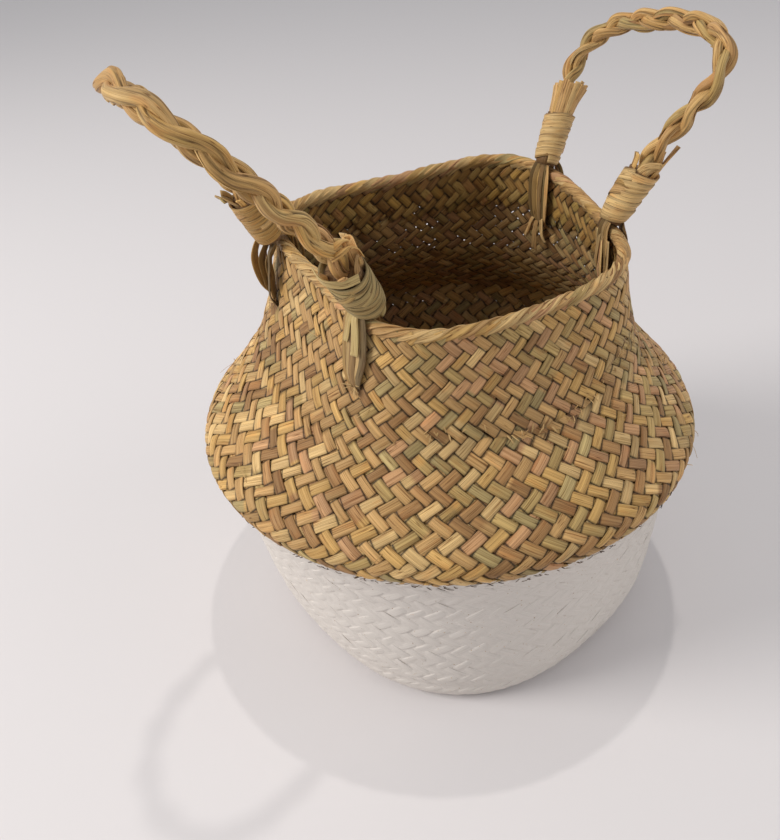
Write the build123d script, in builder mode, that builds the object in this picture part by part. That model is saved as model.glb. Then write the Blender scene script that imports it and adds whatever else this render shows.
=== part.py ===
"""Plaited seagrass belly basket with two braided arch handles.

The skin is one tube of flat seagrass strips: a squarish base, a bowl-shaped lower wall, a round
belly edge, a shoulder that draws in, and a squarish neck that leans a little. A folded border
closes the rim, a doubled hem lines the neck, and each handle leg is tied through the wall.
Frame: +Z up, origin at the centre of the base's underside, +X from the left to the right handle.
All sizes are in millimetres.
"""
import os
from math import atan2, cos, degrees, pi, radians, sin, sqrt, tan

from build123d import *

# Driving dimensions of the skin
belly_radius = 120.0
belly_height = 111.0
rim_height = 200.3
rim_half_side = 69.2
rim_squareness = 3.7
rim_aspect = 0.95                    # the rim is this much shorter along Y
rim_pull = 0.05                      # share by which the handles pull three stretches of it out
pull_direction = 23.0                # degrees from +X
base_half_side = 84.0
skin_thickness = 2.8
floor_thickness = 3.2
rim_tilt = 6.2                       # degrees, the far side of the rim stands higher
rim_bank = 1.2                       # degrees, its +X side stands higher
bowl_centre = (4.2, 4.4)             # the bowl's axis just above the base, which is at the origin
bowl_foot = 15.0                     # height where the bowl has reached that axis
belly_centre = (-2.0, 5.0)
rim_centre = (5.0, 4.4)
base_turn = 17.0                     # degrees, the squarish base against the squarish rim

# Heights where one zone of the skin passes into the next
base_zone_top = 3.8                  # just above the floor's top face
paint_line = 105.0
shoulder_top = 150.0

# Rim border and hem
border_height = 8.0
border_overhang = 0.8
hem_thickness = 2.0
hem_depth = 24.5
layer_gap = 0.8                      # between the neck wall and the hem

# Handles
braid_pitch = 34.0                   # one strand's full crossing cycle
braid_half_width = 3.6
braid_half_depth = 3.0
braid_corners = 9                    # corner points in one cycle of a strand
strand_radius = 1.65
bundle_radius = 2.15                 # strand centres inside a wrap
wrap_length = 26.0
wrap_foot_radius = 4.9
wrap_top_radius = 6.7
wrap_bore_radius = 4.4
bore_floor = 6.5                     # above the pivot
strand_end_gap = 0.3
pivot_lift = 8.4                     # hinge line above the rim plane
running_gap = 0.4
tail_count = 5
tail_length = 14.0
tail_width = 3.4
tail_thickness = 1.0
tail_flare = 14.0                    # degrees
tail_circle = 5.5
tail_lift = 0.15                     # feet clear of the wrap's top face

# Anchor loops that straddle the rim and pierce the wall
strap_width = 8.0
strap_thickness = 4.0
strap_clearance = 3.8
anchor_top = 4.4                     # top of the loop above the rim plane
anchor_bottom = 31.0                 # bottom of the loop below the rim plane
slot_margin = 0.6
slot_reach = 40.0                    # long enough to pass the wall

# Outline stations of the skin: height, half side, squareness exponent (2 is a circle)
stations = [
    (0.0, base_half_side, 2.45),
    (6.0, 92.0, 2.4),
    (15.0, 97.4, 2.35),
    (34.0, 101.9, 2.25),
    (57.0, 105.5, 2.15),
    (80.0, 109.2, 2.06),
    (98.0, 114.4, 2.02),
    (106.0, 118.6, 2.0),
    (belly_height, belly_radius, 2.0),
    (116.0, 118.6, 2.0),
    (125.0, 110.5, 2.02),
    (138.0, 98.0, 2.15),
    (shoulder_top, 86.8, 2.45),
    (165.0, 78.2, 3.0),
    (182.0, 72.6, 3.4),
    (rim_height, rim_half_side, rim_squareness),
    (rim_height + 14.0, rim_half_side - 2.0, rim_squareness),
]
outline_points = 24

# Handle shapes: each leg's direction from the rim's centre in degrees and its shift outwards from
# the wall, the handle's lean outwards at rest, and the route of the braid in the handle's own plane:
# share of the half span along the hinge line, distance from it, and bow off the plane
handles = {
    "left": {
        "side": -1,
        "near": (215.0, 0.0),
        "far": (156.0, 8.0),
        "lean": 36.0,
        "route": [(-1.00, 0, 0), (-1.01, 14, 2.0), (-1.04, 28, 3.8), (-1.08, 45, 3.6),
                  (-1.06, 61, 3.0), (-1.00, 75, 2.5), (-0.86, 89, 1.6), (-0.60, 100, 1.0),
                  (-0.20, 106, 0.5), (0.25, 104, 0.5), (0.62, 95, 0.3), (0.88, 80, 0.0),
                  (1.03, 62, -0.6), (1.08, 46, -1.0), (1.05, 31, -1.2), (1.01, 16, -1.4),
                  (1.00, 0, 0)],
    },
    "right": {
        "side": 1,
        "near": (-26.0, 2.0),
        "far": (26.0, 0.0),
        "lean": 26.0,
        "route": [(-1.00, 0, 0), (-1.05, 15, 0), (-1.08, 27, 0), (-1.17, 37, 0), (-1.28, 48, 0),
                  (-1.39, 59, 0), (-1.30, 68.5, 0), (-0.90, 74, 0), (-0.38, 73.5, 0),
                  (0.20, 69, 0), (0.70, 64, 0), (1.10, 56, 0), (1.34, 46, 0), (1.37, 35, 0),
                  (1.24, 24, 0), (1.11, 12, 0), (1.00, 0, 0)],
    },
}


def rise_fraction(height):
    """How far a height is from the belly edge (0) to the rim (1)."""
    return min(1.0, max(0.0, (height - belly_height) / (rim_height - belly_height)))


def skin_plane(height):
    """Section plane of the skin: level up to the belly edge, then tilting and leaning."""
    rise = rise_fraction(height)
    sink = min(1.0, max(0.0, height) / belly_height)
    foot = min(1.0, max(0.0, height) / bowl_foot)
    centre = []
    for low, middle, high in zip(bowl_centre, belly_centre, rim_centre):
        centre.append(foot * (low + (middle - low) * sink) + (high - middle) * rise)
    tilt = radians(rim_tilt) * rise
    bank = radians(rim_bank) * rise
    return Plane(
        origin=(centre[0], centre[1], height),
        x_dir=(cos(bank), 0, sin(bank)),
        z_dir=(-sin(bank) * cos(tilt), -sin(tilt), cos(bank) * cos(tilt)),
    )


def outline_spot(direction, half_side, squareness, turn, rise):
    """Point of a squarish outline in a direction; high up it is shorter along Y and pulled out."""
    across = abs(cos(direction - turn)) ** squareness
    along = abs(sin(direction - turn)) ** squareness
    pull = 1 + rim_pull * rise * cos(3 * (direction - radians(pull_direction)))
    reach = half_side * (across + along) ** (-1 / squareness) * pull
    aspect = 1 - (1 - rim_aspect) * rise
    return (reach * cos(direction), reach * sin(direction) * aspect)


def outline(half_side, squareness, turn, rise):
    """Points of a squarish outline, each at a fixed direction from the centre."""
    points = []
    for step in range(outline_points):
        direction = 2 * pi * step / outline_points
        points.append(outline_spot(direction, half_side, squareness, turn, rise))
    return points


def station_turn(height):
    """Turn of the squarish outline: the base's turn below the belly edge, none above it."""
    return radians(base_turn) if height < belly_height else 0.0


def inner_stations():
    """Stations of the inner face, a skin thickness inside the outer profile."""
    inside = []
    for index, (height, half_side, squareness) in enumerate(stations):
        below = stations[max(index - 1, 0)]
        above = stations[min(index + 1, len(stations) - 1)]
        rise = above[0] - below[0]
        draw_in = below[1] - above[1]
        slope = sqrt(rise ** 2 + draw_in ** 2)
        inner_height = height - skin_thickness * draw_in / slope
        inner_half = half_side - skin_thickness * rise / slope
        inside.append((inner_height, inner_half, squareness))
    first = inside[0]
    inside[0] = (floor_thickness, base_half_side + 1.0, first[2])
    inside[1] = (floor_thickness + 6.0, inside[1][1], inside[1][2])
    last = inside[-1]
    inside[-1] = (rim_height + 14.5, last[1], last[2])
    return inside


def inner_outline_at(height):
    """Half side and squareness of the skin's inner face at a height."""
    inside = inner_stations()
    for below, above in zip(inside, inside[1:]):
        if below[0] <= height <= above[0]:
            share = (height - below[0]) / (above[0] - below[0])
            half_side = below[1] + share * (above[1] - below[1])
            squareness = below[2] + share * (above[2] - below[2])
    return half_side, squareness


rim_plane = skin_plane(rim_height)
wall_middle = rim_half_side - (skin_thickness + hem_thickness) / 2
normal_step = radians(1.0)           # small turn that gives the rim's own direction


def rim_spot(direction):
    """Point of the middle of the wall at the rim, in the rim plane."""
    return outline_spot(direction, wall_middle, rim_squareness, 0.0, 1.0)


def rim_heading(direction):
    """Outward direction of the rim at a leg, in the rim plane, in radians from +X."""
    before = rim_spot(direction - normal_step)
    after = rim_spot(direction + normal_step)
    return atan2(before[0] - after[0], after[1] - before[1])


def leg_foot(leg):
    """Pivot centre of a leg, above the wall."""
    direction, shift = leg
    x, y = rim_spot(radians(direction))
    heading = rim_heading(radians(direction))
    place = Vector(x + shift * cos(heading), y + shift * sin(heading), pivot_lift)
    return rim_plane.from_local_coords(place)


def handle_plane(handle):
    """Plane of a handle: X along the hinge line towards the far leg, Y away from the hinge."""
    near = leg_foot(handle["near"])
    far = leg_foot(handle["far"])
    hinge_line = (far - near).normalized()
    upright = (rim_plane.z_dir - hinge_line * rim_plane.z_dir.dot(hinge_line)).normalized()
    outward = upright.cross(hinge_line) * -handle["side"]
    lean = radians(handle["lean"])
    away = upright * cos(lean) + outward * sin(lean)
    return Plane(origin=(near + far) / 2, x_dir=hinge_line, z_dir=hinge_line.cross(away))


def finish(part, name):
    """Label a finished piece and write it."""
    part.label = name
    export_step(part, f"parts/{name}.step")


os.makedirs("parts", exist_ok=True)

# ---------------------------------------------------------------- plaited skin, all zones in one
with BuildPart() as skin:
    for height, half_side, squareness in stations:
        with BuildSketch(skin_plane(height)):
            with BuildLine():
                Spline(*outline(half_side, squareness, station_turn(height), rise_fraction(height)), periodic=True)
            make_face()
    loft()
    for height, half_side, squareness in inner_stations():
        with BuildSketch(skin_plane(height)):
            with BuildLine():
                Spline(*outline(half_side, squareness, station_turn(height), rise_fraction(height)), periodic=True)
            make_face()
    loft(mode=Mode.SUBTRACT)

border_foot = rim_plane.offset(-border_height)

with BuildPart() as base_mat:
    add(skin.part)
    split(bisect_by=Plane.XY.offset(base_zone_top), keep=Keep.BOTTOM)
finish(base_mat.part, "base_mat")

with BuildPart() as lower_wall:
    add(skin.part)
    split(bisect_by=Plane.XY.offset(base_zone_top), keep=Keep.TOP)
    split(bisect_by=Plane.XY.offset(paint_line), keep=Keep.BOTTOM)
finish(lower_wall.part, "lower_wall")

with BuildPart() as upper_wall:
    add(skin.part)
    split(bisect_by=Plane.XY.offset(paint_line), keep=Keep.TOP)
    split(bisect_by=skin_plane(shoulder_top), keep=Keep.BOTTOM)
finish(upper_wall.part, "upper_wall")

leg_places = []
for handle_name, handle in handles.items():
    for leg_name in ("near", "far"):
        leg_places.append((f"{handle_name}_{leg_name}", handle[leg_name]))

with BuildPart() as neck_wall:
    add(skin.part)
    split(bisect_by=skin_plane(shoulder_top), keep=Keep.TOP)
    split(bisect_by=border_foot, keep=Keep.BOTTOM)
    for leg_name, leg in leg_places:
        x, y = rim_spot(radians(leg[0]))
        slot_centre = strap_thickness / 2 - anchor_bottom
        heading = degrees(rim_heading(radians(leg[0])))
        slot_place = Pos(x, y, slot_centre) * Rot(0, 0, heading)
        with Locations(rim_plane.location * slot_place):
            Box(
                slot_reach,
                strap_width + 2 * slot_margin,
                strap_thickness + 2 * slot_margin,
                mode=Mode.SUBTRACT,
            )
finish(neck_wall.part, "neck_wall")

# ---------------------------------------------------------------- rim border and inner hem
border_outer = rim_half_side + border_overhang
border_inner = rim_half_side - skin_thickness - layer_gap - hem_thickness - border_overhang
border_flare = 2.0                   # the border widens downwards with the neck

with BuildPart() as rim_border:
    for drop, flare in ((border_height, border_flare), (0.0, 0.0)):
        with BuildSketch(rim_plane.offset(-drop)):
            with BuildLine():
                Spline(*outline(border_outer + flare, rim_squareness, 0, 1), periodic=True)
            make_face()
    loft()
    with BuildSketch(rim_plane.offset(-border_height)):
        with BuildLine():
            Spline(*outline(border_inner, rim_squareness, 0, 1), periodic=True)
        make_face()
    extrude(amount=border_height, mode=Mode.SUBTRACT)
    fillet(rim_border.faces().sort_by(Axis(rim_plane.origin, rim_plane.z_dir))[-1].edges(), radius=2.4)
finish(rim_border.part, "rim_border")

hem_heights = (rim_height - hem_depth, rim_height - 20.0, rim_height - 10.0, rim_height)

with BuildPart() as inner_hem:
    for layer_in, layer_mode in ((layer_gap, Mode.ADD), (layer_gap + hem_thickness, Mode.SUBTRACT)):
        for height in hem_heights:
            inner_half, squareness = inner_outline_at(height)
            with BuildSketch(skin_plane(height)):
                with BuildLine():
                    hem_points = outline(inner_half - layer_in, squareness, 0, rise_fraction(height))
                    Spline(*hem_points, periodic=True)
                make_face()
        loft(mode=layer_mode)
    split(bisect_by=border_foot, keep=Keep.BOTTOM)
finish(inner_hem.part, "inner_hem")

# ---------------------------------------------------------------- anchor loops through the wall
wall_envelope = border_outer + border_flare - border_inner + 2 * strap_clearance
wall_offset = (border_outer + border_flare + border_inner) / 2 - wall_middle


def wall_lean(leg_x, leg_y, direction, heading):
    """How far the wall runs outwards at a leg, for each millimetre down from the rim plane."""
    height = rim_height - anchor_bottom
    half_side, squareness = inner_outline_at(height)
    middle_half = half_side + (skin_thickness - hem_thickness) / 2
    x, y = outline_spot(direction, middle_half, squareness, 0.0, rise_fraction(height))
    low = rim_plane.to_local_coords(skin_plane(height).from_local_coords(Vector(x, y, 0)))
    outward_shift = (low.X - leg_x) * cos(heading) + (low.Y - leg_y) * sin(heading)
    return outward_shift / -low.Z



for leg_name, leg in leg_places:
    x, y = rim_spot(radians(leg[0]))
    heading = rim_heading(radians(leg[0]))
    outward = rim_plane.x_dir * cos(heading) + rim_plane.y_dir * sin(heading)
    along = rim_plane.z_dir.cross(outward)
    middle = rim_plane.from_local_coords(Vector(x, y, 0)) + outward * wall_offset
    loop_plane = Plane(origin=middle, x_dir=outward, z_dir=along * -1)
    loop_height = anchor_top + anchor_bottom
    loop_centre = (anchor_top - anchor_bottom) / 2
    hole_top = strap_clearance
    hole_bottom = strap_thickness - anchor_bottom
    lean_out = wall_lean(x, y, radians(leg[0]), heading)
    with BuildPart() as anchor:
        with BuildSketch(loop_plane) as loop_outline:
            with BuildLine():
                Polyline(
                    (-wall_envelope / 2 - strap_thickness, anchor_top),
                    (wall_envelope / 2 + strap_thickness, anchor_top),
                    (wall_envelope / 2 + strap_thickness - lean_out * hole_bottom, -anchor_bottom),
                    (-wall_envelope / 2 - strap_thickness - lean_out * hole_bottom, -anchor_bottom),
                    close=True,
                )
            make_face()
            fillet(loop_outline.vertices(), radius=2.5)
            with BuildLine():
                Polyline(
                    (-wall_envelope / 2, hole_top),
                    (wall_envelope / 2, hole_top),
                    (wall_envelope / 2 - lean_out * hole_bottom, hole_bottom),
                    (-wall_envelope / 2 - lean_out * hole_bottom, hole_bottom),
                    close=True,
                )
            make_face(mode=Mode.SUBTRACT)
        extrude(amount=strap_width / 2, both=True)
        with Locations(leg_foot(leg)):
            Sphere(wrap_foot_radius + running_gap, mode=Mode.SUBTRACT)
    finish(anchor.part, f"{leg_name}_anchor")

# ---------------------------------------------------------------- handles


def route_point(handle, plane, along, away, bow):
    """A point of the handle's route in the part's frame."""
    half_span = (leg_foot(handle["far"]) - leg_foot(handle["near"])).length / 2
    return plane.from_local_coords(Vector(along * half_span, away, bow))


def strand_route(centre_line, plane, phase):
    """Corner points of one strand of the braid, from inside one wrap to inside the other."""
    length = centre_line.length
    start = bore_floor + strand_end_gap
    bundle_end = wrap_length + 1.0
    braid_start = wrap_length + 7.0
    braid_length = length - 2 * braid_start
    cycles = round(braid_length / braid_pitch * 3) / 3
    steps = round(cycles * braid_corners)
    points = []
    for station in (start, bundle_end):
        points.append((station, 90.0, 0.0))
    for step in range(steps + 1):
        turn = 90.0 + 360.0 * cycles * step / steps
        points.append((braid_start + braid_length * step / steps, turn, 1.0))
    for station in (length - bundle_end, length - start):
        points.append((station, 90.0 + 360.0 * cycles, 0.0))
    route = []
    for station, turn, spread in points:
        share = station / length
        spot = centre_line @ share
        ahead = centre_line % share
        across = plane.z_dir.cross(ahead).normalized()
        angle = radians(turn + phase)
        braid = (braid_half_width * sin(angle), braid_half_depth * sin(2 * angle))
        bundle = (bundle_radius * sin(angle), bundle_radius * cos(angle) * -1)
        sideways = spread * braid[0] + (1 - spread) * bundle[0]
        outwards = spread * braid[1] + (1 - spread) * bundle[1]
        route.append(spot + across * sideways + plane.z_dir * outwards)
    return route


def corner_radii(points):
    """The largest arc that fits each corner of a polyline."""
    radii = []
    for before, corner, after in zip(points, points[1:], points[2:]):
        arriving = corner - before
        leaving = after - corner
        turn = radians(arriving.get_angle(leaving))
        radii.append(0.45 * min(arriving.length, leaving.length) / tan(turn / 2))
    return radii


for handle_name, handle in handles.items():
    plane = handle_plane(handle)
    route = [route_point(handle, plane, *spot) for spot in handle["route"]]
    with BuildLine() as centre_line:
        Spline(*route)
    path = centre_line.edges()[0]
    for strand_index, strand_name in enumerate(("strand_a", "strand_b", "strand_c")):
        corners = strand_route(path, plane, 120.0 * strand_index)
        with BuildPart() as strand:
            with BuildLine() as strand_line:
                FilletPolyline(*corners, radius=corner_radii(corners))
            with BuildSketch(Plane(origin=corners[0], z_dir=corners[1] - corners[0])):
                Circle(strand_radius)
            sweep(path=strand_line.line)
        finish(strand.part, f"{handle_name}_{strand_name}")
    wrap_share = wrap_length / path.length
    for leg_name, pivot_share, top_share in (("near", 0, wrap_share), ("far", 1, 1 - wrap_share)):
        pivot = path @ pivot_share
        leg_direction = (path @ top_share - pivot).normalized()
        across = plane.z_dir.cross(leg_direction).normalized()
        section_plane = Plane(origin=pivot, x_dir=across, z_dir=across.cross(leg_direction))
        with BuildPart() as wrap:
            with BuildSketch(section_plane):
                with BuildLine():
                    RadiusArc((0, -wrap_foot_radius), (wrap_foot_radius, 0), -wrap_foot_radius)
                    Line((wrap_foot_radius, 0), (wrap_top_radius, wrap_length))
                    Line((wrap_top_radius, wrap_length), (wrap_bore_radius, wrap_length))
                    Line((wrap_bore_radius, wrap_length), (wrap_bore_radius, bore_floor))
                    Line((wrap_bore_radius, bore_floor), (0, bore_floor))
                    Line((0, bore_floor), (0, -wrap_foot_radius))
                make_face()
            revolve(axis=Axis(pivot, leg_direction))
        finish(wrap.part, f"{handle_name}_{leg_name}_wrap")
        wrap_top = pivot + leg_direction * (wrap_length + tail_lift)
        top = Plane(origin=wrap_top, x_dir=across, z_dir=leg_direction)
        with BuildPart() as tails:
            with Locations(top.location):
                with PolarLocations(tail_circle, tail_count):
                    Box(
                        tail_thickness,
                        tail_width,
                        tail_length,
                        rotation=(0, tail_flare, 0),
                        align=(Align.CENTER, Align.CENTER, Align.MIN),
                    )
        finish(tails.part, f"{handle_name}_{leg_name}_cut_ends")
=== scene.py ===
"""Plaited seagrass belly basket: the looks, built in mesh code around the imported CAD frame.

Every strip of the basket is its own ribbon in a 2/2 twill, laid on the same outline stations as the
CAD skin. Sizes are in millimetres and become metres when a mesh is made.
"""

from math import cos, pi, radians, sin

import bpy
import numpy as np
from mathutils import Matrix, Vector


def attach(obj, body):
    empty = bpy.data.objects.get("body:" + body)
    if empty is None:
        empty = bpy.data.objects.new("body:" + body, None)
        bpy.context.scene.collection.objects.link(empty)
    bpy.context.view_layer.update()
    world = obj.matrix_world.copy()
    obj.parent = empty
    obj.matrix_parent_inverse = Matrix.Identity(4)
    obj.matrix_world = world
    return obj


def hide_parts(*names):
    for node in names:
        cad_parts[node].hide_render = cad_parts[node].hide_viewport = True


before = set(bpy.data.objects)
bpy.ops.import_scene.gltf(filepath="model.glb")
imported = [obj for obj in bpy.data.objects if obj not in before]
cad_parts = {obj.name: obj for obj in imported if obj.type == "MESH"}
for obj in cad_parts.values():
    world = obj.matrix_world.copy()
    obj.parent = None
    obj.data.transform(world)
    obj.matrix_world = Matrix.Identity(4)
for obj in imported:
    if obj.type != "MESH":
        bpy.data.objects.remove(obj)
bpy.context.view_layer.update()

MM = 0.001

# ------------------------------------------------------------------ driving sizes, as in the CAD
BELLY_HEIGHT = 111.0
RIM_HEIGHT = 200.3
RIM_HALF_SIDE = 69.2
RIM_SQUARENESS = 3.7
RIM_ASPECT = 0.95
RIM_PULL = 0.05
PULL_DIRECTION = radians(23.0)
RIM_TILT = radians(6.2)
RIM_BANK = radians(1.2)
BASE_TURN = radians(17.0)
BASE_SQUARENESS = 2.45
BASE_REACH = 78.0
BOWL_CENTRE = np.array((4.2, 4.4))
BOWL_FOOT = 15.0
BELLY_CENTRE = np.array((-2.0, 5.0))
RIM_CENTRE = np.array((5.0, 4.4))
PAINT_LINE = 105.0
SHOULDER_TOP = 150.0
PIVOT_LIFT = 8.4
HALF_WALL = 2.4                  # half the thickness of the wall with its hem
WALL_MIDDLE = RIM_HALF_SIDE - HALF_WALL
HOLE_DEPTH = 29.0                # below the rim, where the handles' blades go through the wall

# rough girths, which turn a distance round the basket into a share of a turn
NECK_GIRTH = 450.0
SHOULDER_GIRTH = 560.0
MIDDLE_GIRTH = 600.0
BELLY_GIRTH = 740.0

# height, half side and squareness of the outer face; the first rows turn in under the base
STATIONS = np.array([
    (0.0, 74.0, 2.45),
    (0.0, 80.0, 2.45),
    (0.4, 84.0, 2.45),
    (2.5, 88.2, 2.43),
    (6.0, 92.0, 2.4),
    (15.0, 97.4, 2.35),
    (34.0, 101.9, 2.25),
    (57.0, 105.5, 2.15),
    (80.0, 109.2, 2.06),
    (98.0, 114.4, 2.02),
    (106.0, 118.6, 2.0),
    (111.0, 120.0, 2.0),
    (116.0, 118.6, 2.0),
    (125.0, 110.5, 2.02),
    (138.0, 98.0, 2.15),
    (150.0, 86.8, 2.45),
    (165.0, 78.2, 3.0),
    (182.0, 72.6, 3.4),
    (200.3, 69.2, 3.7),
    (214.3, 67.2, 3.7),
])

# each leg: direction from the rim's centre and shift outwards; route: share of the half span along
# the hinge line, distance from it, and bow off the handle's plane
HANDLES = {
    "left": {
        "side": -1, "near": (radians(215.0), 0.0), "far": (radians(156.0), 8.0),
        "lean": radians(36.0),
        "route": [(-1.00, 0, 0), (-1.01, 14, 2.0), (-1.04, 28, 3.8), (-1.08, 45, 3.6),
                  (-1.06, 61, 3.0), (-1.00, 75, 2.5), (-0.86, 88, 1.6), (-0.60, 98, 1.0),
                  (-0.20, 103.2, 0.8), (0.25, 101, 1.3), (0.62, 92, 2.4), (0.88, 78, 3.6),
                  (1.03, 61, 4.9), (1.08, 46, 5.9), (1.05, 31, 6.2), (1.01, 16, 4.2),
                  (1.00, 0, 0)],
    },
    "right": {
        "side": 1, "near": (radians(-26.0), 2.0), "far": (radians(26.0), 0.0),
        "lean": radians(26.0),
        "route": [(-1.00, 0, 0), (-1.05, 15, 0), (-1.08, 27, 0), (-1.17, 37, 0), (-1.28, 48, 0),
                  (-1.39, 59, 0), (-1.30, 68.5, 0), (-0.90, 74, 0), (-0.38, 73.5, 0),
                  (0.20, 69, 0), (0.70, 64, 0), (1.10, 56, 0), (1.34, 46, 0), (1.37, 35, 0),
                  (1.24, 24, 0), (1.11, 12, 0), (1.00, 0, 0)],
    },
}

# ------------------------------------------------------------------ weave
STRIPS = 80                      # strips in each direction round the basket
STRIP_PITCH = 5.45               # between the middles of neighbouring strips at the belly
SLOPE_GAIN = 0.00047             # the strips stand steeper, and are narrower, on a smaller girth
STRIP_THICKNESS = 0.95
STRIP_COVER = 0.955              # strip width as a share of the pitch
STRIP_ROLL = radians(7.0)
BLADE_ROWS = 6.5                 # rows of the weave before another blade takes over
WEAVE_DEPTH = 1.15               # middle of the weave below the CAD skin's outer face
NEVER_PAINTED = -99.0            # paint value of a point that the paint can't reach


# ------------------------------------------------------------------ small maths
def distances(points):
    """Distance along a line from its start to each of its points."""
    return np.concatenate([[0], np.cumsum(np.linalg.norm(np.diff(points, axis=0), axis=1))])


def read_line(at, run, line):
    """Points of a line at given distances, where run has the distance of each of its points."""
    return np.stack([np.interp(at, run, line[:, k]) for k in range(3)], -1)


def smooth_curve(where, xs, ys):
    """A smooth curve through points, read at where."""
    xs, ys = np.asarray(xs, float), np.asarray(ys, float)
    slopes = np.gradient(ys, xs)
    i = np.clip(np.searchsorted(xs, where) - 1, 0, len(xs) - 2)
    gap = xs[i + 1] - xs[i]
    t = (where - xs[i]) / gap
    start = (2 * t**3 - 3 * t**2 + 1) * ys[i] + (t**3 - 2 * t**2 + t) * gap * slopes[i]
    end = (-2 * t**3 + 3 * t**2) * ys[i + 1] + (t**3 - t**2) * gap * slopes[i + 1]
    return start + end


def unit(vectors):
    return vectors / np.maximum(np.linalg.norm(vectors, axis=-1, keepdims=True), 1e-9)


def wander(where, count, scale, rng):
    """Smooth random waves, one row for each of count things, read at where (count or 1 rows)."""
    total = np.zeros((count, where.shape[-1]))
    for octave in range(4):
        pitch = scale / (1.0 + 1.1 * octave)
        phase = rng.uniform(0, 2 * pi, (count, 1))
        pace = rng.uniform(0.75, 1.3, (count, 1))
        total += np.sin(where * 2 * pi / pitch * pace + phase) / (1.6 + octave)
    return total


def resample(points, step):
    """A smooth line through points, at an even step; returns positions and the length."""
    points = np.asarray(points, float)
    chord = distances(points)
    fine = np.linspace(0, chord[-1], max(200, len(points) * 40))
    line = np.stack([smooth_curve(fine, chord, points[:, k]) for k in range(3)], -1)
    run = distances(line)
    count = max(3, int(round(run[-1] / step)) + 1)
    return read_line(np.linspace(0, run[-1], count), run, line), run[-1]


# ------------------------------------------------------------------ the skin as a surface
class Skin:
    """The CAD skin's outer face, read at (turn fraction round, distance up the wall, lift out)."""

    ROWS = 520
    COLUMNS = 960

    def __init__(self):
        chord = distances(STATIONS[:, :2])
        along = np.linspace(0, chord[-1], self.ROWS)
        heights, halves, squares = (smooth_curve(along, chord, STATIONS[:, k]) for k in range(3))
        heights = np.maximum(heights, 0)
        fine = np.linspace(0, 2 * pi, 1441)
        points, girths = [], []
        for height, half, square in zip(heights, halves, squares):
            turn = BASE_TURN if height < BELLY_HEIGHT else 0.0
            outline = outline_spot(fine, half, square, turn, rise_fraction(height))
            ring = section_point(height, *outline)
            run = distances(ring)
            even = np.linspace(0, run[-1], self.COLUMNS, endpoint=False)
            points.append(read_line(even, run, ring))
            girths.append(run[-1])
        self.points = np.stack(points)
        self.perimeter = np.array(girths)
        steps = np.linalg.norm(np.diff(self.points, axis=0), axis=-1).mean(1)
        self.s = np.concatenate([[0], np.cumsum(steps)])
        self.heights = heights
        round_way = unit(np.roll(self.points, -1, 1) - np.roll(self.points, 1, 1))
        up_way = unit(np.gradient(self.points, self.s, axis=0))
        self.normals = unit(np.cross(round_way, up_way))
        belly = self.perimeter.max()
        sine = STRIP_PITCH * STRIPS / belly + SLOPE_GAIN * (belly - self.perimeter)
        self.slope = np.arcsin(np.clip(sine, 0.3, 0.8))
        self.pitch = self.perimeter * np.sin(self.slope) / STRIPS
        rate = STRIPS / (self.perimeter * np.tan(self.slope))
        middle = (rate[1:] + rate[:-1]) / 2
        self.w = np.concatenate([[0], np.cumsum(middle * np.diff(self.s))])

    def s_at(self, height):
        """Distance up the wall at a height."""
        start = int(np.argmax(self.heights > 0.2))
        return float(np.interp(height, self.heights[start:], self.s[start:]))

    def rows_at(self, s):
        """Weave row count at a distance up the wall."""
        return np.interp(s, self.s, self.w)

    def read(self, grid, u, s):
        row = np.clip(np.interp(s, self.s, np.arange(self.ROWS)), 0, self.ROWS - 1.001)
        column = (u % 1.0) * self.COLUMNS
        r0 = row.astype(int)
        c0 = column.astype(int) % self.COLUMNS
        c1 = (c0 + 1) % self.COLUMNS
        fr = (row - r0)[..., None]
        fc = (column - np.floor(column))[..., None]
        low = grid[r0, c0] * (1 - fc) + grid[r0, c1] * fc
        high = grid[r0 + 1, c0] * (1 - fc) + grid[r0 + 1, c1] * fc
        return low * (1 - fr) + high * fr

    def at(self, u, s, lift=0.0):
        """Points in millimetres."""
        u, s, lift = np.broadcast_arrays(u, s, lift)
        normal = unit(self.read(self.normals, u, s))
        return self.read(self.points, u, s) + normal * lift[..., None]

    def normal_at(self, u, s):
        u, s = np.broadcast_arrays(u, s)
        return unit(self.read(self.normals, u, s))

    def find(self, point):
        """(u, s) of the grid point nearest to a point."""
        gap = np.linalg.norm(self.points - np.asarray(point), axis=-1)
        row, column = np.unravel_index(np.argmin(gap), gap.shape)
        return column / self.COLUMNS, float(self.s[row])


def rise_fraction(height):
    """How far a height is from the belly edge (0) to the rim (1)."""
    return min(1.0, max(0.0, (height - BELLY_HEIGHT) / (RIM_HEIGHT - BELLY_HEIGHT)))


def outline_spot(direction, half, square, turn, rise):
    """Point of a squarish outline; high up it is shorter along Y and pulled out by the handles."""
    across = np.abs(np.cos(direction - turn)) ** square + np.abs(np.sin(direction - turn)) ** square
    pull = 1 + RIM_PULL * rise * np.cos(3 * (direction - PULL_DIRECTION))
    reach = half * across ** (-1 / square) * pull
    return reach * np.cos(direction), reach * np.sin(direction) * (1 - (1 - RIM_ASPECT) * rise)


def section_axes(rise):
    """X, Y and Z of a section plane, level below the belly edge and tilted at the rim."""
    tilt, bank = RIM_TILT * rise, RIM_BANK * rise
    x_way = np.array((cos(bank), 0.0, sin(bank)))
    z_way = np.array((-sin(bank) * cos(tilt), -sin(tilt), cos(bank) * cos(tilt)))
    return x_way, np.cross(z_way, x_way), z_way


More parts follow.
